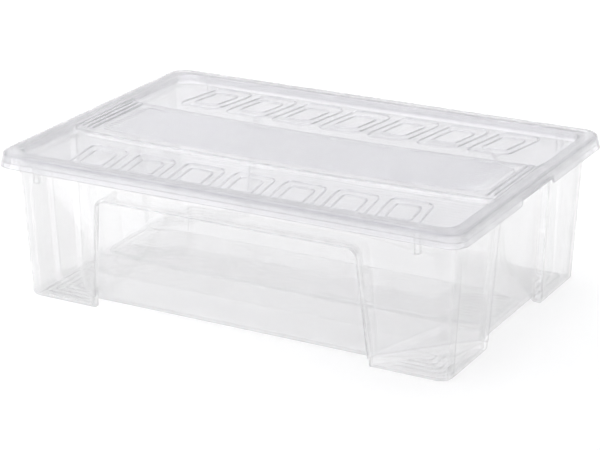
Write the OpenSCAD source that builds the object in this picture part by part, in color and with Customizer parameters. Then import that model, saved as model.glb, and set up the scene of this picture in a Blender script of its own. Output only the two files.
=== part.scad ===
// Clear stackable storage box for shoes: a tub with four corner feet and a press-on lid.
// The origin is at the middle of the footprint, on the surface that the feet stand on.
// X runs along the length, Y along the width, Z up.

/* [Tub] */
// Length of the tub at its feet
tub_l = 315; // [260:1:420]
// Width of the tub at its feet
tub_w = 205; // [165:1:270]
// Height of the tub to the top of its rim
tub_h = 101.5; // [80:0.1:150]
// Radius of the upright corners at the feet
corner_r = 9.5; // [7:0.5:16]
// Lean of the walls from upright, in degrees
draft_deg = 3.3; // [2:0.1:4]
// Thickness of the tub's walls and floors
wall = 1.8; // [1.2:0.1:2.4]
// Bevel around the bottom edge of the feet
foot_bevel = 1.4; // [0.5:0.1:2]

/* [Feet and floor] */
// Height of the feet under the raised floor
foot_h = 5.9; // [4.5:0.1:9]
// Rise of the ribbed pad above the floor
pad_rise = 0.6; // [0.3:0.1:1.2]
// Length of the ribbed pad
pad_l = 292; // [200:1:296]
// Width of the ribbed pad
pad_w = 65; // [40:1:85]
// Radius of the pad's corners
pad_r = 3; // [1:0.5:8]

/* [Panels sunk in the long walls] */
// Half width of the panel at its top edge
side_half_top = 95; // [70:1:110]
// Half width of the panel where it meets the feet
side_half_foot = 102.5; // [80:0.5:115]
// Height of the panel's top edge
side_top = 78.6; // [55:0.1:85]
// Depth of the panel at its top edge
side_depth_top = 1.6; // [0.8:0.1:3]
// Depth of the panel at the feet
side_depth_foot = 3.7; // [2:0.1:5]
// Radius of the panel's top corners
side_r = 6; // [3:0.5:12]

/* [Finger recesses in the end walls] */
// Half width of the recess at its top
end_half_top = 38; // [28:0.5:50]
// Half width of the recess where it meets the feet
end_half_foot = 43.5; // [32:0.5:55]
// Gap from the recess's top edge up to the rim's lip
end_gap = 4; // [3:0.1:6]
// Depth of the recess
end_depth = 4.8; // [4.4:0.1:6]

/* [Tub rim] */
// Reach of the rim past the end walls
rim_out_end = 5; // [3:0.1:7]
// Reach of the rim past the long walls
rim_out_side = 4.1; // [2:0.1:6]
// Height of the rim's turned-down lip
rim_drop = 5.8; // [4:0.1:8]
// Thickness of the rim's top and of its lip
rim_wall = 1.6; // [1:0.1:2]
// Thickness of the four gussets under the rim
gusset_t = 3.6; // [2:0.1:5]
// Height of the gussets below the lip
gusset_h = 11; // [6:0.5:20]
// Place of the gussets from the middle, along the length
gusset_x = 139.5; // [110:0.5:180]

/* [Lid] */
// Thickness of the lid
lid_wall = 1.5; // [1:0.1:2]
// Gap between the lid's skirt and the tub's rim
skirt_gap = 0.5; // [0.3:0.05:1]
// Gap between the lid's tray and the tub's walls
tray_gap = 1.2; // [0.8:0.1:3]
// Gap between the lid and the top of the tub's rim
seat_gap = 0.3; // [0.2:0.05:0.6]
// Height of the skirt's upright face
skirt_h = 8.7; // [6:0.1:12]
// How far the skirt flares out towards its bottom edge
skirt_flare = 1.5; // [0.5:0.1:2]
// Rise of the rounded edge above the skirt's face
crown_h = 1.7; // [1:0.1:3]
// Inward run of the rounded edge
crown_in = 2.3; // [1:0.1:3]
// Depth of the rim's soft inner slope
slope_h = 2.4; // [1:0.1:4]
// Inward run of the rim's soft inner slope
slope_in = 3.4; // [1:0.1:5]
// Depth of the tray's floor below the top of the lid
tray_depth = 6.2; // [5:0.1:9]
// Radius of the lid's outer corners
lid_r = 12; // [9:0.5:20]
// Radius of the tray's corners
tray_r = 10; // [6:0.5:16]
// Lean of the tray's wall over its depth
tray_lean = 0.8; // [0.4:0.1:1.5]

/* [Band along the lid] */
// Half width of the raised band at its top
band_half = 36; // [20:0.5:45]
// Run of the band's sloping edges
band_slope = 2.4; // [1:0.1:4]
// Rise of the band above the tray's floor
band_rise = 2.4; // [1:0.1:3]
// Number of grip bars at each end of the band
bars = 3; // [1:1:3]
// Spacing of the grip bars
bar_pitch = 4.1; // [3:0.1:6]
// Width of a grip bar
bar_t = 1.8; // [1:0.1:2.5]
// Length of a grip bar
bar_l = 66; // [30:1:80]
// Rise of a grip bar above the band
bar_rise = 1.8; // [0.8:0.1:3]

/* [Finger notches in the skirt] */
// Width of the notch
notch_w = 50; // [20:1:70]
// Height of the notch
notch_h = 3.8; // [2:0.1:5]

/* [Hidden] */
$fn = 96;
lean = tan(draft_deg);
// Overlap where two solids of one piece join
eps = 0.01;
// Depth to which a straight edge runs into the arc that it meets
arc_bite = 0.02;
// How far the opening under the floor reaches past the sunk panels, on each side
floor_step = 0.6;
// Overshoot of a cutting shape past the face that it opens
over = 1;
// Reach of a cutting shape that runs out into free space
far = 40;

// Heights shared by the tub and the lid
lip_z = tub_h - rim_drop;
under_top = tub_h + seat_gap;
lid_top = under_top + lid_wall;
crease_z = lid_top - crown_h;
skirt_z = crease_z - skirt_h;
tray_z = lid_top - tray_depth;
inner_z = lid_top - slope_h;
band_z = tray_z + band_rise;
floor_z = foot_h + wall;

// Outline of the tub's rim at its lip, the widest place
rim_l = tub_l + 2 * lean * tub_h + 2 * rim_out_end;
rim_w = tub_w + 2 * lean * tub_h + 2 * rim_out_side;
// The flare of the skirt at a height above its bottom edge
function flare_at(z) = skirt_flare * (z - skirt_z) / skirt_h;
// Outline of the lid at the skirt's bottom edge: skirt, gap and rim one inside the other
lip_in = flare_at(lip_z) + lid_wall + skirt_gap;
lid_l = rim_l + 2 * lip_in;
lid_w = rim_w + 2 * lip_in;
rim_r = lid_r - lip_in;
rim_taper = flare_at(tub_h) - flare_at(lip_z);

// Outline of the tray's wall, held inside the tub's mouth
tray_bottom_z = tray_z - lid_wall;
mouth_l = tub_l + 2 * lean * tray_bottom_z - 2 * wall;
mouth_w = tub_w + 2 * lean * tray_bottom_z - 2 * wall;
tray_l = mouth_l - 2 * tray_gap;
tray_w = mouth_w - 2 * tray_gap;

// Rounds a length to a thousandth of a millimetre, so that flats and round corners meet exactly
function neat(v) = round(v * 1000) / 1000;

// Rounded rectangular block from z0 to z1, its outline set in by in0 at z0 and by in1 at z1
module slab(l, w, r, z0, z1, in0 = 0, in1 = 0) {
    cx = neat(l / 2 - r);
    cy = neat(w / 2 - r);
    r0 = neat(r - in0);
    r1 = neat(r - in1);
    for (sx = [-1, 1], sy = [-1, 1])
        translate([sx * cx, sy * cy, z0])
            cylinder(h = z1 - z0, r1 = r0, r2 = r1);
    rotate([90, 0, 90])
        linear_extrude(2 * cx, center = true)
            trapezoid(cy + r0, cy + r1, z0, z1);
    rotate([90, 0, 0])
        linear_extrude(2 * cy, center = true)
            trapezoid(cx + r0, cx + r1, z0, z1);
}

module trapezoid(half0, half1, z0, z1) {
    polygon([[-half0, z0], [half0, z0], [half1, z1], [-half1, z1]]);
}

// Upright panel outline with sloping sides and round top corners
module panel_outline(half_foot, half_top, top, r) {
    slope = atan((half_foot - half_top) / top);
    cz = neat(top - r);
    cx = neat(half_foot - cz * tan(slope) - r / cos(slope));
    tx = cx + (r - arc_bite) * cos(slope);
    tz = cz + (r - arc_bite) * sin(slope);
    foot = half_foot + far * tan(slope);
    polygon([[-foot, -far], [foot, -far], [tx, tz], [cx, top], [-cx, top], [-tx, tz]]);
    for (s = [-1, 1])
        translate([s * cx, cz])
            circle(r);
}

// Space in front of the panels sunk in the long walls, grown by o on every side
module side_recess(o) {
    lean_in = lean - (side_depth_foot - side_depth_top) / side_top;
    for (turn = [0, 180])
        rotate([0, 0, turn])
            translate([0, -(tub_w / 2 - side_depth_foot - o), 0])
                rotate([90 + atan(lean_in), 0, 0])
                    linear_extrude(far)
                        panel_outline(side_half_foot + o, side_half_top + o, side_top + o, side_r + o);
}

// Space in front of the finger recesses in the end walls, grown by o on every side
module end_recess(o) {
    top = lip_z - end_gap + o;
    for (turn = [0, 180])
        rotate([0, 0, turn])
            translate([tub_l / 2 - end_depth - o, 0, 0])
                rotate([0, atan(lean), 0])
                    rotate([90, 0, 90])
                        linear_extrude(far)
                            trapezoid(end_half_foot + o + far * (end_half_foot - end_half_top) / top,
                                      end_half_top + o, -far, top);
}

// Space under the raised floor, between the four feet, grown by o on every side
module under_floor(o) {
    px = side_half_foot + floor_step;
    py = tub_w / 2 - side_depth_foot - wall;
    qx = tub_l / 2 - end_depth - wall;
    qy = end_half_foot + floor_step;
    run = norm([qx - px, py - qy]);
    nx = (py - qy) / run;
    ny = (qx - px) / run;
    c = nx * px + ny * py + o;
    ax = px + o;
    ay = (c - nx * ax) / ny;
    by = qy + o;
    bx = (c - ny * by) / nx;
    translate([0, 0, -far])
        linear_extrude(far + foot_h + o) {
            square([2 * ax, tub_w + far], center = true);
            square([tub_l + far, 2 * by], center = true);
            polygon([[ax, ay], [bx, by], [bx, -by], [ax, -ay], [-ax, -ay], [-bx, -by], [-bx, by], [-ax, ay]]);
        }
}

// The tub's solid form, set in by o: o = 0 is the outside, o = wall is the inside
module tub_form(o, top) {
    difference() {
        slab(tub_l, tub_w, corner_r, o, top, o - lean * o, o - lean * top);
        side_recess(o);
        end_recess(o);
        under_floor(o);
    }
}

// The rim and its turned-down lip
module tub_rim() {
    difference() {
        slab(rim_l, rim_w, rim_r, lip_z, tub_h, 0, rim_taper);
        slab(rim_l, rim_w, rim_r, lip_z - over, tub_h - rim_wall, rim_wall, rim_wall + rim_taper);
    }
}

module gussets() {
    reach = rim_w / 2 - (rim_wall + rim_taper) / 2;
    for (sx = [-1, 1], sy = [-1, 1])
        translate([sx * gusset_x - gusset_t / 2, sy > 0 ? tub_w / 2 : -reach, lip_z - gusset_h])
            cube([gusset_t, reach - tub_w / 2, gusset_h + rim_drop - rim_wall / 2]);
}

module tub() {
    color([0.90, 0.90, 0.93, 0.35]) {
        difference() {
            union() {
                tub_form(0, tub_h);
                gussets();
                tub_rim();
            }
            tub_form(wall, tub_h + over);
            bevel_cut();
        }
        slab(pad_l, pad_w, pad_r, floor_z - wall / 2, floor_z + pad_rise);
    }
}

// Removes the sharp bottom edge around the feet
module bevel_cut() {
    difference() {
        slab(tub_l + far, tub_w + far, corner_r + far / 2, -over, foot_bevel + over);
        slab(tub_l, tub_w, corner_r, -2 * over, foot_bevel + 2 * over, foot_bevel + 2 * over, -2 * over);
    }
}

// The raised band's solid from z0 to z1, with sloping long edges
module band(half, z0, z1, len) {
    rotate([90, 0, 90])
        linear_extrude(len, center = true)
            trapezoid(half + band_slope, half, z0, z1);
}

module grip_bars() {
    first = tray_l / 2 - lid_wall - bar_t / 2;
    for (side = [-1, 1], i = [0:bars - 1])
        translate([side * (first - i * bar_pitch) - bar_t / 2, -bar_l / 2, band_z - lid_wall / 2])
            cube([bar_t, bar_l, bar_rise + lid_wall / 2]);
}

module lid_shell() {
    slab(lid_l, lid_w, lid_r, skirt_z, crease_z, 0, skirt_flare);
    slab(lid_l, lid_w, lid_r, crease_z, lid_top, skirt_flare, skirt_flare + crown_in);
}

module lid_hollow() {
    rise = under_top - skirt_z;
    slope = skirt_flare / skirt_h;
    slab(lid_l, lid_w, lid_r, skirt_z - over, under_top, lid_wall - slope * over, lid_wall + slope * rise);
}

// The tray's solid form, set in by o
module tray(o, z0, z1) {
    slab(tray_l, tray_w, tray_r + lid_wall, z0, z1, o + tray_lean * (lid_top - z0) / tray_depth,
         o + tray_lean * (lid_top - z1) / tray_depth);
}

module lid() {
    slope_r = tray_r + slope_in;
    open_l = tray_l - 2 * lid_wall + 2 * slope_in;
    open_w = tray_w - 2 * lid_wall + 2 * slope_in;
    color([0.86, 0.86, 0.92, 0.4])
        difference() {
            union() {
                difference() {
                    lid_shell();
                    lid_hollow();
                }
                tray(0, tray_bottom_z, under_top + eps);
            }
            difference() {
                union() {
                    tray(lid_wall, tray_z, lid_top + over);
                    slab(open_l, open_w, slope_r, inner_z, lid_top + eps, slope_in + over, 0);
                }
                band(band_half, tray_z - over, band_z, tray_l);
                intersection() {
                    grip_bars();
                    tray(lid_wall / 2, tray_z, lid_top);
                }
            }
            band(band_half - lid_wall, tray_bottom_z - over, band_z - lid_wall, tray_l - 4 * lid_wall);
            for (turn = [0, 180])
                rotate([0, 0, turn])
                    translate([lid_l / 2 - lid_wall - skirt_flare - skirt_gap, -notch_w / 2, skirt_z - over])
                        cube([far, notch_w, notch_h + over]);
        }
}

tub();
lid();
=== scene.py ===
"""Clear plastic shoe box: a drafted tub on four feet and a lift-off lid with a sunken, ribbed tray."""

import math

import bmesh
import bpy
import numpy as np
from bpy.props import FloatProperty, FloatVectorProperty, IntProperty, PointerProperty
from bpy.types import Operator, Panel, PropertyGroup
from mathutils import Matrix, Vector


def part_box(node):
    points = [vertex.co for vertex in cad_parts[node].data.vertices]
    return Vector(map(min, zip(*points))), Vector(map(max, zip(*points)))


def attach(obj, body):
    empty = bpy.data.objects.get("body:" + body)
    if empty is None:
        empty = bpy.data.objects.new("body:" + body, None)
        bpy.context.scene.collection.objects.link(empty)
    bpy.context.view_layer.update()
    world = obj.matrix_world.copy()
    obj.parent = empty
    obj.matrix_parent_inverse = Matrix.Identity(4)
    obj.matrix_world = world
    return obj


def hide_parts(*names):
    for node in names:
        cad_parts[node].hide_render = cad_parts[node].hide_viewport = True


bl_info = {
    "name": "Clear shoe box",
    "version": (1, 0, 0),
    "blender": (4, 5, 0),
    "location": "3D View > Sidebar > Shoe Box",
    "description": "Builds the clear plastic tub and lid of a shoe box, and a plain studio around them",
    "category": "Object",
}

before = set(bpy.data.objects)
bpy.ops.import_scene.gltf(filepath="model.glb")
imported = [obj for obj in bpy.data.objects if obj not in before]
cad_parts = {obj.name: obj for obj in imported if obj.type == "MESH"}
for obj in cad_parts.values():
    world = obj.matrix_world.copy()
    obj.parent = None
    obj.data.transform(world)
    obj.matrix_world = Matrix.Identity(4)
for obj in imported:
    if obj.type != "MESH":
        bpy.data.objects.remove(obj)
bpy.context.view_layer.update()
LID_LOW, LID_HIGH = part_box("lid")
MM = 0.001

# how far the underside of a rib lies under the surface that it stands on
SUNK = 0.0002
# size of an open ridge's end sections, and of the ones next to them, as shares of its full size
TIP, SHOULDER = 0.35, 0.8
# power of the superellipse that every raised outline follows
OUTLINE_POWER = 7


def length(name, description, millimetres):
    """A size in metres whose default is written in millimetres."""
    return FloatProperty(
        name=name, description=description, default=millimetres * MM, min=0, subtype="DISTANCE", unit="LENGTH"
    )


def share(name, description, default):
    """A share from 0 to 1."""
    return FloatProperty(name=name, description=description, default=default, min=0, max=1, subtype="FACTOR")


def colour(name, description, default):
    """A colour."""
    return FloatVectorProperty(
        name=name, description=description, default=default, size=3, min=0, max=1, subtype="COLOR"
    )


class LidSizes(PropertyGroup):
    """Sizes of the lid's visible detail."""

    wall: length("Wall", "Thickness of the lid's sheet", 1.5)
    rim_inset_end: length("Rim width at the ends", "From the outer edge to the tray, at the ends", 12.6)
    rim_inset_side: length("Rim width at the sides", "From the outer edge to the tray, at the sides", 12.6)
    corner: length("Corner radius", "Radius of the lid's outer corners", 12)
    tray_drop: length("Tray depth", "From the top of the rim to the sunken panels", 6.3)
    band_half: length("Band half width", "Half width of the raised band at its top", 36)
    band_slope: length("Band slope", "Run of the band's sloping edges", 2.2)
    band_rise: length("Band rise", "Rise of the band above the panels", 2.4)
    sag: length("Sag", "How far the panels hang at the middle of the lid", 2.6)
    rib_pitch: length("Band rib pitch", "Spacing of the band's fine ribs", 3.9)
    rib_width: length("Band rib width", "Width of the band's fine ribs", 1.8)
    rib_height: length("Band rib height", "Height of the band's fine ribs", 1.1)
    relief_width: length("Relief line width", "Width of the raised outlines on the panels", 1.5)
    relief_height: length("Relief line height", "Height of the raised outlines on the panels", 1.0)
    notch_half: length("Notch half width", "Half width of the finger notch in each end of the skirt", 25)
    notch_height: length("Notch height", "Height of the finger notches", 3.8)
    tiles: IntProperty(name="Relief tiles", description="Outlined tiles in each row", default=7, min=1)


class TubSizes(PropertyGroup):
    """Sizes of the tub's visible detail."""

    soften: length("Edge radius", "Softening of the moulding's edges", 0.55)
    rib_pitch: length("Floor rib pitch", "Spacing of the fine ribs on the floor's pad", 4.6)
    rib_width: length("Floor rib width", "Width of the fine ribs on the floor's pad", 1.9)
    rib_height: length("Floor rib height", "Height of the fine ribs on the floor's pad", 1.1)
    foot_pitch: length("Foot rib pitch", "Spacing of the nested ribs in the feet", 5)
    foot_height: length("Foot rib height", "Height of the nested ribs in the feet", 0.7)


class Finishes(PropertyGroup):
    """Colours and gloss of the two mouldings."""

    tub_tint: colour("Tub tint", "Tint of the tub's clear plastic", (0.965, 0.965, 0.97))
    tub_haze: share("Tub haze", "Roughness of the tub", 0.012)
    tub_clarity: share("Tub clarity", "Share of the tub's body that refracts light", 0.93)
    tub_body: share("Tub body", "Share of light that doesn't pass straight through the tub", 0.5)
    lid_tint: colour("Lid tint", "Tint of the lid's clear plastic", (0.93, 0.925, 0.955))
    lid_haze: share("Lid haze", "Roughness of the lid", 0.03)
    lid_clarity: share("Lid clarity", "Share of the lid's body that refracts light", 0.87)
    lid_body: share("Lid body", "Share of light that doesn't pass straight through the lid", 0.6)


class StudioSettings(PropertyGroup):
    """Light, floor and camera of the studio."""

    floor_colour: colour("Floor", "Colour of the plain floor", (0.55, 0.55, 0.55))
    glow: FloatProperty(name="Floor glow", description="Strength of the floor's light", default=0.7, min=0)
    sky: FloatProperty(name="Sky", description="Strength of the surrounding light", default=1.0, min=0)
    key: FloatProperty(
        name="Key power", description="Power of the overhead softbox, in watts", default=2, min=0,
        subtype="POWER", unit="POWER",
    )
    lens: FloatProperty(
        name="Lens", description="Focal length of the camera, in millimetres", default=126.25, min=1
    )


# --------------------------------------------------------------------------- surfaces


def new_object(name, points, faces, material, smooth=True):
    """A mesh object at the origin, from an array of points and a list of faces."""
    mesh = bpy.data.meshes.new(name)
    mesh.from_pydata(points.tolist(), [], faces)
    mesh.materials.append(material)
    mesh.polygons.foreach_set("use_smooth", np.full(len(mesh.polygons), smooth))
    mesh.update()
    obj = bpy.data.objects.new(name, mesh)
    bpy.context.scene.collection.objects.link(obj)
    return obj


def lines_with(marks, step, fine):
    """Sorted grid lines through all marks, no further apart than step.
    Every inner mark also gets a line at the distance `fine` on each side."""
    marks = np.sort(np.asarray(marks, float))
    inner = marks[1:-1]
    knots = np.unique(np.round(np.concatenate([marks, inner - fine, inner + fine]), 9))
    counts = np.maximum(1, np.ceil(np.diff(knots) / step).astype(int))
    spans = [np.linspace(a, b, n + 1)[:-1] for a, b, n in zip(knots[:-1], knots[1:], counts)]
    return np.concatenate(spans + [knots[-1:]])


def ring(half_x, half_y, radius, xs, ys, arc):
    """Points once round a rounded rectangle, anticlockwise from the front left.
    The straights carry the grid lines xs and ys, scaled to the straight's length.
    Each corner is a quarter circle of `arc` steps."""
    cx, cy = half_x - radius, half_y - radius
    sx, sy = xs / xs[-1] * cx, ys / ys[-1] * cy
    turn = np.linspace(0, math.pi / 2, arc + 1)[1:-1]
    c, s = radius * np.cos(turn), radius * np.sin(turn)
    sides = [
        np.column_stack([sx, np.full_like(sx, -half_y)]),
        np.column_stack([cx + s, -cy - c]),
        np.column_stack([np.full_like(sy, half_x), sy]),
        np.column_stack([cx + c, cy + s]),
        np.column_stack([sx[::-1], np.full_like(sx, half_y)]),
        np.column_stack([-cx - s, cy + c]),
        np.column_stack([np.full_like(sy, -half_x), sy[::-1]]),
        np.column_stack([-cx - c, -cy - s]),
    ]
    return np.concatenate(sides)


def grid_edge(nx, ny, arc):
    """Indices of a grid's border vertices in the order of ring(), with each corner repeated along its arc.
    Vertex (i, j) is i * ny + j."""
    i, j = np.arange(nx), np.arange(ny)
    corner = np.ones(arc - 1, int)
    return np.concatenate([
        i * ny,
        corner * (nx - 1) * ny,
        (nx - 1) * ny + j,
        corner * (nx * ny - 1),
        i[::-1] * ny + ny - 1,
        corner * (ny - 1),
        j[::-1],
        corner * 0,
    ])


def closed_dish(xs, ys, arc, top, bottom, rows):
    """A closed sheet: a top grid, rings that run outwards over the rim and back under it, and a bottom grid.
    top and bottom are height functions of (x, y) over the grid.
    rows lists each ring as (half_x, half_y, radius, height function). Returns points and triangles."""
    nx, ny = len(xs), len(ys)
    gx, gy = np.meshgrid(xs, ys, indexing="ij")
    gx, gy = gx.ravel(), gy.ravel()
    upper = np.column_stack([gx, gy, top(gx, gy)])
    lower = np.column_stack([gx, gy, bottom(gx, gy)])
    rings = []
    for half_x, half_y, radius, height in rows:
        flat = ring(half_x, half_y, radius, xs, ys, arc)
        rings.append(np.column_stack([flat, height(flat[:, 0], flat[:, 1])]))
    points = np.concatenate([upper, *rings, lower])

    around = len(rings[0])
    first_ring, first_lower = nx * ny, nx * ny + len(rings) * around
    edge = grid_edge(nx, ny, arc)
    loops = [edge]
    loops += [first_ring + k * around + np.arange(around) for k in range(len(rings))]
    loops += [first_lower + edge]
    loops = np.array(loops)
    a, b = loops[:-1], loops[1:]
    a2, b2 = np.roll(a, -1, axis=1), np.roll(b, -1, axis=1)
    skin = np.concatenate([
        np.stack([a, b, b2], -1).reshape(-1, 3),
        np.stack([a, b2, a2], -1).reshape(-1, 3),
    ])
    i, j = np.meshgrid(np.arange(nx - 1), np.arange(ny - 1), indexing="ij")
    v = (i * ny + j).ravel()
    face_up = np.concatenate([
        np.stack([v, v + ny, v + ny + 1], -1),
        np.stack([v, v + ny + 1, v + 1], -1),
    ])
    face_down = face_up[:, ::-1] + first_lower
    triangles = np.concatenate([face_up, skin, face_down])
    # a ring's corner arc meets a single grid vertex, which leaves triangles without area
    p, q, r = triangles.T
    return points, triangles[(p != q) & (q != r) & (r != p)].tolist()


def ridges(paths, width, height, sunk, closed, surface, profile_steps=6):
    """Half-round ridges carried along flat paths, resting on a surface. Returns points and faces.
    paths has shape (count, steps, 2). Across a path the section is a half ellipse of that width and height,
    whose flat underside lies `sunk` under the surface. Open ridges narrow to a rounded tip at both ends."""
    count, steps = paths.shape[:2]
    if closed:
        ahead, behind = np.roll(paths, -1, axis=1), np.roll(paths, 1, axis=1)
    else:
        ahead = np.concatenate([paths[:, 1:], paths[:, -1:]], axis=1)
        behind = np.concatenate([paths[:, :1], paths[:, :-1]], axis=1)
    along = ahead - behind
    along /= np.linalg.norm(along, axis=2, keepdims=True)
    side = np.stack([along[..., 1], -along[..., 0]], -1)
    grow = np.ones(steps)
    if not closed:
        grow[[0, -1]] = TIP
        grow[[1, -2]] = SHOULDER
    angle = np.linspace(0, math.pi, profile_steps + 1)
    across = np.concatenate([np.cos(angle) * width / 2, [-width / 2, width / 2]])
    up = np.concatenate([np.sin(angle) * height, [-sunk, -sunk]])
    k = len(across)
    spread = across[None, None, :, None] * grow[None, :, None, None]
    flat = paths[:, :, None, :] + side[:, :, None, :] * spread
    z = surface(flat[..., 0], flat[..., 1]) + np.where(up > 0, up * grow[None, :, None], up)
    points = np.concatenate([flat, z[..., None]], -1).reshape(-1, 3)

    sections = np.arange(steps if closed else steps - 1)
    p, s, q = np.meshgrid(np.arange(count), sections, np.arange(k), indexing="ij")

    def vertex(section, place):
        return (p * steps + section % steps) * k + place % k

    quads = np.stack([vertex(s, q), vertex(s, q + 1), vertex(s + 1, q + 1), vertex(s + 1, q)], -1)
    faces = quads.reshape(-1, 4).tolist()
    if not closed:
        starts = np.arange(count) * steps
        faces += (starts[:, None] * k + np.arange(k)[None, ::-1]).tolist()
        faces += ((starts + steps - 1)[:, None] * k + np.arange(k)[None]).tolist()
    return points, faces


def superellipse(centre_x, centre_y, half_x, half_y, lean, steps):
    """A nearly rectangular closed line: a superellipse of power OUTLINE_POWER, sheared along X by lean."""
    angle = np.linspace(0, 2 * math.pi, steps, endpoint=False)
    c, s = np.cos(angle), np.sin(angle)
    x = np.sign(c) * np.abs(c) ** (2 / OUTLINE_POWER) * half_x
    y = np.sign(s) * np.abs(s) ** (2 / OUTLINE_POWER) * half_y
    return np.column_stack([centre_x + x + lean * y, centre_y + y])


def level(z):
    """The height function of a level surface."""
    return lambda x, y: np.full(np.shape(x), z)


def join(parts):
    """Points and faces of several solids as one list of each."""
    points, faces, start = [], [], 0
    for part_points, part_faces in parts:
        points.append(part_points)
        faces += [tuple(i + start for i in face) for face in part_faces]
        start += len(part_points)
    return np.concatenate(points), faces


# --------------------------------------------------------------------------- finishes


def add_node(nodes, kind, **values):
    """A new shader node with its inputs set. An underscore in a name stands for a space."""
    node = nodes.new(kind)
    for name, value in values.items():
        node.inputs[name.replace("_", " ")].default_value = value
    return node


def clear_plastic(name, tint, haze, clarity, body, ripple, grain_scale):
    """Clear injection moulded plastic with a haze that drifts over the sheet and a very shallow flow ripple.
    body is the share of light that meets the plastic, and the rest passes straight on. clarity is the share
    of that light which is refracted."""
    material = bpy.data.materials.new(name)
    material.use_nodes = True
    nodes, links = material.node_tree.nodes, material.node_tree.links
    nodes.clear()
    out = nodes.new("ShaderNodeOutputMaterial")
    shader = nodes.new("ShaderNodeBsdfPrincipled")
    shader.inputs["Base Color"].default_value = (*tint, 1)
    shader.inputs["IOR"].default_value = 1.49
    shader.inputs["Transmission Weight"].default_value = clarity
    shader.inputs["Alpha"].default_value = body
    coords = nodes.new("ShaderNodeTexCoord")
    drift = add_node(nodes, "ShaderNodeTexNoise", Scale=9, Detail=3)
    spread = add_node(nodes, "ShaderNodeMapRange", To_Min=haze * 0.6, To_Max=haze * 1.5)
    flow = add_node(nodes, "ShaderNodeTexNoise", Scale=grain_scale, Detail=2)
    bump = add_node(nodes, "ShaderNodeBump", Strength=ripple, Distance=0.0004)
    links.new(coords.outputs["Object"], drift.inputs["Vector"])
    links.new(drift.outputs["Fac"], spread.inputs["Value"])
    links.new(spread.outputs["Result"], shader.inputs["Roughness"])
    links.new(coords.outputs["Object"], flow.inputs["Vector"])
    links.new(flow.outputs["Fac"], bump.inputs["Height"])
    links.new(bump.outputs["Normal"], shader.inputs["Normal"])
    links.new(shader.outputs["BSDF"], out.inputs["Surface"])
    return material


def light_table(paint, glow):
    """Matt white floor with a barely visible drift of tone, and a glow that is made a little weaker towards
    +X as painted shade.
    """
    material = bpy.data.materials.new("studio_floor")
    material.use_nodes = True
    nodes, links = material.node_tree.nodes, material.node_tree.links
    shader = nodes["Principled BSDF"]
    shader.inputs["Roughness"].default_value = 0.9
    shader.inputs["Specular IOR Level"].default_value = 0.1
    shader.inputs["Emission Color"].default_value = (1, 1, 1, 1)
    coords = nodes.new("ShaderNodeTexCoord")
    place = nodes.new("ShaderNodeSeparateXYZ")
    # painted shade: the floor's glow is made weaker towards +X, so that the box's right end, seen against the
    # floor, looks shaded
    painted_shade_fade = add_node(
        nodes, "ShaderNodeMapRange", From_Min=-0.2, From_Max=0.25, To_Min=glow, To_Max=glow * 0.8
    )
    links.new(coords.outputs["Object"], place.inputs["Vector"])
    links.new(place.outputs["X"], painted_shade_fade.inputs["Value"])
    links.new(painted_shade_fade.outputs["Result"], shader.inputs["Emission Strength"])
    drift = add_node(nodes, "ShaderNodeTexNoise", Scale=2)
    ramp = nodes.new("ShaderNodeValToRGB")
    ramp.color_ramp.elements[0].color = (*[c * 0.995 for c in paint], 1)
    ramp.color_ramp.elements[1].color = (*paint, 1)
    links.new(coords.outputs["Object"], drift.inputs["Vector"])
    links.new(drift.outputs["Fac"], ramp.inputs["Fac"])
    links.new(ramp.outputs["Color"], shader.inputs["Base Color"])
    return material


# --------------------------------------------------------------------------- lid

# the skirt's height that is kept over a notch, the run of its steep ends, and where the end walls begin
NOTCH_EDGE = 1.2 * MM
NOTCH_RUN = 0.0016
END_FROM = 0.15
# the grid's edge, in rim widths from the lid's outer edge
GRID_INSET = 1.5
# half size of the field of fine ribs, how far its ribs stop short of the field's ends, and how near to its
# long edges the ribs stop short by as much again
RIBS_HALF_X, RIBS_HALF_Y = 0.1454, 0.028
RIBS_SHORT = 0.002
CORNER_RIBS = 0.003
# the line around the fine ribs
RIBS_BORDER_GAP, RIBS_BORDER_WIDTH, RIBS_BORDER_HEIGHT = 0.0012, 0.0011, 0.0004
# grip bars at each end of the band: distance from the middle, half length, width, height
GRIP_PLACES = [0.1490, 0.1534, 0.1577]
GRIP_HALF, GRIP_WIDTH, GRIP_HEIGHT, GRIP_SUNK = 0.033, 0.0024, 0.0018, 0.0003
# rows of outlined tiles: length of a row, its distance from the middle, a tile's half width as a share of
# the spacing, its half height, its lean, and how much smaller its inner line is
ROW_LENGTH, ROW_PLACE = 0.264, 0.0755
TILE_SHARE, TILE_HALF_Y, TILE_LEAN = 0.40, 0.0215, 0.18
TILE_INSET = (0.0062, 0.0085)


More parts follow.
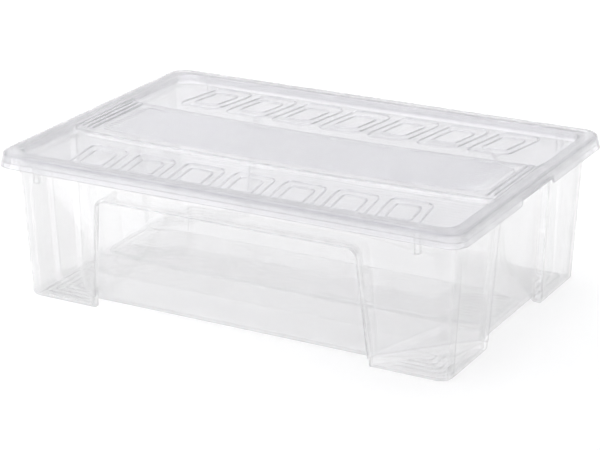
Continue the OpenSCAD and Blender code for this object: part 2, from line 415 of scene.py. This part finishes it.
def lid_rows(sizes, floor):
    """The lid's section from the tray's floor over the rim, down the skirt and back underneath.
    Each row is (half_x, half_y, radius, height function). A place is a share of the rim's width,
    counted from the lid's outer edge. Heights are in millimetres."""
    # height above the tray's floor
    tray_up = [(1.21, 0), (1.12, 0), (1.065, 0.45), (1.04, 1.1), (1.025, 2.3)]
    # height from the top of the rim
    rim = [
        (1.0, -2.7), (0.965, -2.05), (0.91, -1.4), (0.835, -0.8), (0.74, -0.38), (0.62, -0.12), (0.48, -0.02),
        (0.35, 0), (0.27, -0.12), (0.2, -0.45), (0.155, -0.95), (0.13, -1.6), (0.115, -3.0), (0.075, -5.5),
        (0.035, -8.0), (0.012, -9.4), (0.0, -9.98), (0.02, -10.34), (0.085, -10.4), (0.12, -10.1),
        (0.135, -9.4),
        (0.165, -7.5), (0.215, -4.5), (0.255, -2.3), (0.28, -1.75), (0.33, -1.5), (0.5, -1.5), (0.7, -1.5),
        (0.84, -1.55), (0.865, -1.9), (0.88, -3.0),
    ]
    # height above the underside of the tray's floor
    tray_down = [(0.9, 2.8), (0.93, 1.2), (0.97, 0.4), (1.04, 0), (1.21, 0)]

    def on_floor(rise):
        return lambda x, y: floor(x, y) + rise

    def on_rim(drop):
        """Past the start of the notches, the skirt is squeezed up at the two ends to leave the notch open."""
        full = LID_HIGH.z - LID_LOW.z
        start = full - sizes.notch_height - NOTCH_EDGE
        spare = NOTCH_EDGE / (full - start)

        def height(x, y):
            inside = np.clip((sizes.notch_half + NOTCH_RUN / 2 - np.abs(y)) / NOTCH_RUN, 0, 1)
            inside = inside * (np.abs(x) > END_FROM)
            squeezed = np.minimum(start + (drop - start) * spare, drop)
            return LID_HIGH.z - np.where(drop > start, drop + (squeezed - drop) * inside, drop)

        return height

    def row(place, height):
        inset_x, inset_y = place * sizes.rim_inset_end, place * sizes.rim_inset_side
        return LID_HIGH.x - inset_x, LID_HIGH.y - inset_y, sizes.corner - 0.2 * inset_x, height

    return (
        [row(place, on_floor(rise * MM)) for place, rise in tray_up]
        + [row(place, on_rim(-drop * MM)) for place, drop in rim]
        + [row(place, on_floor(rise * MM - sizes.wall)) for place, rise in tray_down]
    )


def lid_floor(sizes):
    """Height of the tray's upper surface over (x, y).
    The panels are sunken, the band rises by a smooth step along both its edges, and the sag is a parabola
    along X that is greatest mid-span and fades out near the long sides."""
    panel = LID_HIGH.z - sizes.tray_drop
    reach_x = LID_HIGH.x - sizes.rim_inset_end
    reach_y = LID_HIGH.y - sizes.rim_inset_side

    def smooth_step(t):
        return t * t * (3 - 2 * t)

    def height(x, y):
        across = np.clip(np.abs(y) / reach_y, 0, 1)
        rise = np.clip((sizes.band_half + sizes.band_slope - np.abs(y)) / sizes.band_slope, 0, 1)
        hang = np.clip(1 - (x / reach_x) ** 2, 0, 1) * (1 - 0.45 * across ** 2)
        edge = np.clip((reach_y * 1.01 - np.abs(y)) / 0.012, 0, 1)
        return panel + sizes.band_rise * smooth_step(rise) - sizes.sag * hang * smooth_step(edge)

    return height


def lid_sheet(sizes, floor):
    """The lid's sheet: tray, rim and skirt in one closed surface of even thickness."""
    half_x = LID_HIGH.x - sizes.rim_inset_end * GRID_INSET
    half_y = LID_HIGH.y - sizes.rim_inset_side * GRID_INSET
    slope = sizes.band_half + np.linspace(0, sizes.band_slope, 4)
    xs = np.linspace(-half_x, half_x, 61)
    # the rings stretch these lines to their own length, so the notch's ends are placed by the outermost ring
    notch = sizes.notch_half * half_y / (LID_HIGH.y - sizes.corner) * np.array([-1, 1])
    ys = lines_with(np.concatenate([[-half_y], -slope, notch, slope, [half_y]]), 0.004, NOTCH_RUN / 2)
    return closed_dish(xs, ys, 10, floor, lambda x, y: floor(x, y) - sizes.wall, lid_rows(sizes, floor))


def band_ribs(sizes, floor):
    """Fine ribs along the band, and the rounded border around them."""
    count = int(2 * RIBS_HALF_Y / sizes.rib_pitch)
    offsets = (np.arange(count + 1) - count / 2) * sizes.rib_pitch
    ends = RIBS_HALF_X - RIBS_SHORT - (np.abs(offsets) > RIBS_HALF_Y - CORNER_RIBS) * RIBS_SHORT
    t = np.linspace(-1, 1, 41)
    ribs = np.stack([t[None] * ends[:, None], np.repeat(offsets[:, None], len(t), 1)], -1)
    border = superellipse(0, 0, RIBS_HALF_X + RIBS_BORDER_GAP, RIBS_HALF_Y + RIBS_BORDER_GAP, 0, 400)
    return [
        ridges(ribs, sizes.rib_width, sizes.rib_height, SUNK, False, floor),
        ridges(border[None], RIBS_BORDER_WIDTH, RIBS_BORDER_HEIGHT, SUNK, True, floor),
    ]


def grip_bars(floor):
    """Grip bars across both ends of the band."""
    places = np.concatenate([np.negative(GRIP_PLACES), GRIP_PLACES])
    t = np.linspace(-GRIP_HALF, GRIP_HALF, 30)
    bars = np.stack([np.repeat(places[:, None], len(t), 1), np.repeat(t[None], len(places), 0)], -1)
    return ridges(bars, GRIP_WIDTH, GRIP_HEIGHT, GRIP_SUNK, False, floor, 8)


def tile_rows(sizes, floor):
    """A row of leaning tiles on each sunken panel, every tile drawn by an outer and an inner raised line."""
    pitch = ROW_LENGTH / sizes.tiles
    centres = (np.arange(sizes.tiles) - (sizes.tiles - 1) / 2) * pitch
    half_x = pitch * TILE_SHARE
    outlines = [
        superellipse(x, side * ROW_PLACE, half_x - inset_x, TILE_HALF_Y - inset_y, side * TILE_LEAN, 160)
        for inset_x, inset_y in ((0, 0), TILE_INSET)
        for side in (-1, 1)
        for x in centres
    ]
    return ridges(np.array(outlines), sizes.relief_width, sizes.relief_height, SUNK, True, floor)


class SHOEBOX_OT_lid(Operator):
    """Builds the lid: rim, skirt, sunken tray, raised band with fine ribs, grip bars and outlined tiles."""

    bl_idname = "shoebox.lid"
    bl_label = "Lid"

    def execute(self, context):
        sizes, finish = context.scene.shoebox_lid, context.scene.shoebox_finish
        floor = lid_floor(sizes)
        points, faces = join(
            [lid_sheet(sizes, floor), *band_ribs(sizes, floor), grip_bars(floor), tile_rows(sizes, floor)]
        )
        plastic = clear_plastic(
            "lid_clear_plastic", finish.lid_tint, finish.lid_haze, finish.lid_clarity, finish.lid_body,
            ripple=0.12, grain_scale=60,
        )
        lid = new_object("lid_moulding", points, faces, plastic)
        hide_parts("lid")
        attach(lid, "lid")
        return {"FINISHED"}


# --------------------------------------------------------------------------- tub

# the pad on the floor: height of its top, width covered by ribs, half length of a rib
PAD_TOP, PAD_RIBS_WIDTH, PAD_RIB_HALF = 0.0083, 0.055, 0.1405
# the two lines around the pad: half size of the outer one, the step to the inner one, width and height
PAD_HALF_X, PAD_HALF_Y, PAD_LINE_STEP = 0.1452, 0.0318, 0.0024
PAD_LINE_WIDTH, PAD_LINE_HEIGHT = 0.0011, 0.0006
# nested ribs in the feet: their number, the height that they stand on, their width, the outermost one's
# corner, the least x and least y that a rib reaches, and the largest and smallest rounding of a corner
FOOT_RIBS, FOOT_FLOOR, FOOT_RIB_WIDTH = 5, 0.0018, 0.0016
FOOT_CORNER = np.array([0.1492, 0.0942])
FOOT_LEAST_X, FOOT_LEAST_Y = 0.1062, 0.0475
FOOT_ROUND, FOOT_ROUND_LEAST = 0.004, 0.001
# the foot's slanting wall in plan: the line where SLANT . (x, y) = SLANT_REACH
SLANT = np.array([0.742, 0.670])
SLANT_REACH = 0.1462


def softened_copy(node, radius, segments):
    """A closed copy of a CAD solid with merged points, flat faces made whole, and sharp edges rounded."""
    work = bmesh.new()
    work.from_mesh(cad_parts[node].data)
    bmesh.ops.remove_doubles(work, verts=work.verts, dist=1e-6)
    bmesh.ops.dissolve_limit(
        work, angle_limit=math.radians(0.3), use_dissolve_boundaries=False, verts=work.verts, edges=work.edges
    )
    sharp = [e for e in work.edges if len(e.link_faces) == 2 and e.calc_face_angle(0) > math.radians(25)]
    bmesh.ops.bevel(
        work, geom=sharp, offset=radius, offset_type="OFFSET", segments=segments, profile=0.5,
        affect="EDGES", clamp_overlap=True, loop_slide=True,
    )
    work.verts.index_update()
    points = np.array([v.co for v in work.verts])
    faces = [tuple(v.index for v in f.verts) for f in work.faces]
    work.free()
    return points, faces


def pad_ribs(sizes):
    """Fine ribs along the pad in the middle of the floor, and the double border around it."""
    count = int(PAD_RIBS_WIDTH / sizes.rib_pitch)
    offsets = (np.arange(count + 1) - count / 2) * sizes.rib_pitch
    t = np.linspace(-PAD_RIB_HALF, PAD_RIB_HALF, 20)
    ribs = np.stack([np.repeat(t[None], len(offsets), 0), np.repeat(offsets[:, None], len(t), 1)], -1)
    border = np.stack([
        superellipse(0, 0, PAD_HALF_X - inset, PAD_HALF_Y - inset, 0, 320) for inset in (0, PAD_LINE_STEP)
    ])
    return [
        ridges(ribs, sizes.rib_width, sizes.rib_height, SUNK, False, level(PAD_TOP)),
        ridges(border, PAD_LINE_WIDTH, PAD_LINE_HEIGHT, SUNK, True, level(PAD_TOP)),
    ]


def foot_ribs(sizes):
    """Nested corner ribs in the four feet, parallel to the outer walls and cut off by the slanting wall.
    Each is a straight, a quarter circle and a straight. They end where the quarter circle has no room."""
    nested = []
    turn = np.linspace(0, math.pi / 2, 7)[1:-1]
    for k in range(FOOT_RIBS):
        x, y = FOOT_CORNER - k * sizes.foot_pitch
        start = max((SLANT_REACH - SLANT[1] * y) / SLANT[0], FOOT_LEAST_X)
        stop = max((SLANT_REACH - SLANT[0] * x) / SLANT[1], FOOT_LEAST_Y)
        radius = min(FOOT_ROUND, x - start - FOOT_ROUND_LEAST)
        if radius < FOOT_ROUND_LEAST:
            break
        line = np.concatenate([
            np.column_stack([np.linspace(start, x - radius, 8), np.full(8, y)]),
            np.column_stack([x - radius + radius * np.sin(turn), y - radius + radius * np.cos(turn)]),
            np.column_stack([np.full(8, x), np.linspace(y - radius, stop, 8)]),
        ])
        nested += [line * np.array([sx, sy]) for sx in (-1, 1) for sy in (-1, 1)]
    return ridges(np.array(nested), FOOT_RIB_WIDTH, sizes.foot_height, SUNK, False, level(FOOT_FLOOR))


def smooth_under(obj, degrees):
    """Turns faces outwards. Shading is smooth where they meet at less than an angle, and hard elsewhere."""
    work = bmesh.new()
    work.from_mesh(obj.data)
    bmesh.ops.recalc_face_normals(work, faces=work.faces)
    for face in work.faces:
        face.smooth = True
    for edge in work.edges:
        edge.smooth = len(edge.link_faces) == 2 and edge.calc_face_angle(0) < math.radians(degrees)
    work.to_mesh(obj.data)
    work.free()


def weigh_normals(obj):
    """Lets the large flat faces set the shading, so that only the rounded edges between them look round."""
    weighted = obj.modifiers.new("flat_faces_lead", "WEIGHTED_NORMAL")
    weighted.mode = "FACE_AREA"
    weighted.weight = 100
    weighted.keep_sharp = True


class SHOEBOX_OT_tub(Operator):
    """Builds the tub: walls, feet, rim and recesses with softened edges, and the ribs inside it."""

    bl_idname = "shoebox.tub"
    bl_label = "Tub"

    def execute(self, context):
        sizes, finish = context.scene.shoebox_tub, context.scene.shoebox_finish
        points, faces = join([softened_copy("tub", sizes.soften, 2), *pad_ribs(sizes), foot_ribs(sizes)])
        plastic = clear_plastic(
            "tub_clear_plastic", finish.tub_tint, finish.tub_haze, finish.tub_clarity, finish.tub_body,
            ripple=0.1, grain_scale=40,
        )
        tub = new_object("tub_moulding", points, faces, plastic, smooth=False)
        smooth_under(tub, 40)
        weigh_normals(tub)
        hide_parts("tub")
        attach(tub, "tub")
        return {"FINISHED"}


# --------------------------------------------------------------------------- studio

# half size of the floor, and how far it lies under the feet
FLOOR_HALF, FLOOR_DROP = 5.0, 0.0002
# the camera's place in metres, and its turns in radians
CAMERA_PLACE = np.array([0.6536, -1.1675, 0.5379])
CAMERA_YAW, CAMERA_PITCH, CAMERA_ROLL = -0.512, 0.354, -0.010


def area_light(name, place, target, size_x, size_y, power):
    """A rectangular softbox at a place, facing a target point."""
    data = bpy.data.lights.new(name, "AREA")
    data.shape = "RECTANGLE"
    data.size, data.size_y = size_x, size_y
    data.energy = power
    light = bpy.data.objects.new(name, data)
    bpy.context.scene.collection.objects.link(light)
    aim = Vector(target) - Vector(place)
    light.matrix_world = Matrix.Translation(place) @ aim.to_track_quat("-Z", "Y").to_matrix().to_4x4()


def soft_sky(strength):
    """Surrounding light that darkens downwards and towards +X."""
    world = bpy.data.worlds.new("studio_light")
    world.use_nodes = True
    nodes, links = world.node_tree.nodes, world.node_tree.links
    coords = nodes.new("ShaderNodeTexCoord")
    split = nodes.new("ShaderNodeSeparateXYZ")
    ramp = nodes.new("ShaderNodeValToRGB")
    low, high = ramp.color_ramp.elements
    low.position, low.color = 0.1, (0.42, 0.42, 0.45, 1)
    high.position, high.color = 0.65, (1.0, 1.0, 1.01, 1)
    side = add_node(nodes, "ShaderNodeMapRange", From_Min=0.2, From_Max=0.95, To_Min=1, To_Max=0.25)
    shade = nodes.new("ShaderNodeVectorMath")
    shade.operation = "SCALE"
    links.new(coords.outputs["Generated"], split.inputs["Vector"])
    links.new(split.outputs["Z"], ramp.inputs["Fac"])
    links.new(split.outputs["X"], side.inputs["Value"])
    links.new(ramp.outputs["Color"], shade.inputs[0])
    links.new(side.outputs["Result"], shade.inputs["Scale"])
    links.new(shade.outputs["Vector"], nodes["Background"].inputs["Color"])
    nodes["Background"].inputs["Strength"].default_value = strength
    return world


def studio_camera(lens):
    """The camera, turned by yaw about Z, then down by pitch, then by roll about its own line of sight."""
    cos_pitch = math.cos(CAMERA_PITCH)
    ahead = np.array([
        cos_pitch * math.sin(CAMERA_YAW), cos_pitch * math.cos(CAMERA_YAW), -math.sin(CAMERA_PITCH)
    ])
    right = np.array([math.cos(CAMERA_YAW), -math.sin(CAMERA_YAW), 0.0])
    up = np.cross(right, ahead)
    across = math.cos(CAMERA_ROLL) * right + math.sin(CAMERA_ROLL) * up
    upward = -math.sin(CAMERA_ROLL) * right + math.cos(CAMERA_ROLL) * up
    turn = np.eye(4)
    turn[:3] = np.column_stack([across, upward, -ahead, CAMERA_PLACE])
    data = bpy.data.cameras.new("studio_camera")
    data.lens = lens
    data.sensor_width = 36
    data.sensor_fit = "HORIZONTAL"
    data.clip_end = 30
    camera = bpy.data.objects.new("studio_camera", data)
    bpy.context.scene.collection.objects.link(camera)
    camera.matrix_world = Matrix(turn.tolist())
    return camera


class SHOEBOX_OT_studio(Operator):
    """Builds the plain floor, the soft light and the camera."""

    bl_idname = "shoebox.studio"
    bl_label = "Studio"

    def execute(self, context):
        scene, settings = context.scene, context.scene.shoebox_studio
        square = np.array([(-1, -1, 0), (1, -1, 0), (1, 1, 0), (-1, 1, 0)])
        corners = square * FLOOR_HALF - (0, 0, FLOOR_DROP)
        material = light_table(settings.floor_colour, settings.glow)
        floor = new_object("studio_floor", corners, [(0, 1, 2, 3)], material)

        scene.world = soft_sky(settings.sky)
        area_light("overhead_softbox", (0.1, 0.3, 1.6), (0, 0, 0), 0.8, 0.6, settings.key)
        area_light("left_softbox", (-1.4, -0.7, 0.8), (0, 0, 0.05), 0.5, 0.6, settings.key * 0.5)
        scene.camera = studio_camera(settings.lens)

        # light has to pass many clear faces to reach the camera
        scene.view_settings.view_transform = "Standard"
        scene.cycles.max_bounces = 28
        scene.cycles.transmission_bounces = 28
        scene.cycles.transparent_max_bounces = 48
        return {"FINISHED"}


# --------------------------------------------------------------------------- add-on


class SHOEBOX_PT_sidebar(Panel):
    """Lists the shoe box's steps and sizes."""

    bl_label = "Shoe Box"
    bl_idname = "SHOEBOX_PT_sidebar"
    bl_space_type = "VIEW_3D"
    bl_region_type = "UI"
    bl_category = "Shoe Box"

    def draw(self, context):
        scene, layout = context.scene, self.layout
        for operator, group in (
            ("shoebox.tub", scene.shoebox_tub),
            ("shoebox.lid", scene.shoebox_lid),
            ("shoebox.studio", scene.shoebox_studio),
        ):
            box = layout.box()
            box.operator(operator)
            for name in group.__annotations__:
                box.prop(group, name)
        box = layout.box()
        for name in scene.shoebox_finish.__annotations__:
            box.prop(scene.shoebox_finish, name)


CLASSES = (
    LidSizes, TubSizes, Finishes, StudioSettings,
    SHOEBOX_OT_tub, SHOEBOX_OT_lid, SHOEBOX_OT_studio, SHOEBOX_PT_sidebar,
)
GROUPS = {
    "shoebox_lid": LidSizes,
    "shoebox_tub": TubSizes,
    "shoebox_finish": Finishes,
    "shoebox_studio": StudioSettings,
}


def register():
    for each in CLASSES:
        bpy.utils.register_class(each)
    for name, group in GROUPS.items():
        setattr(bpy.types.Scene, name, PointerProperty(type=group))


def unregister():
    for name in GROUPS:
        delattr(bpy.types.Scene, name)
    for each in reversed(CLASSES):
        bpy.utils.unregister_class(each)


def main():
    register()
    bpy.ops.shoebox.tub()
    bpy.ops.shoebox.lid()
    bpy.ops.shoebox.studio()


if __name__ == "__main__":
    main()
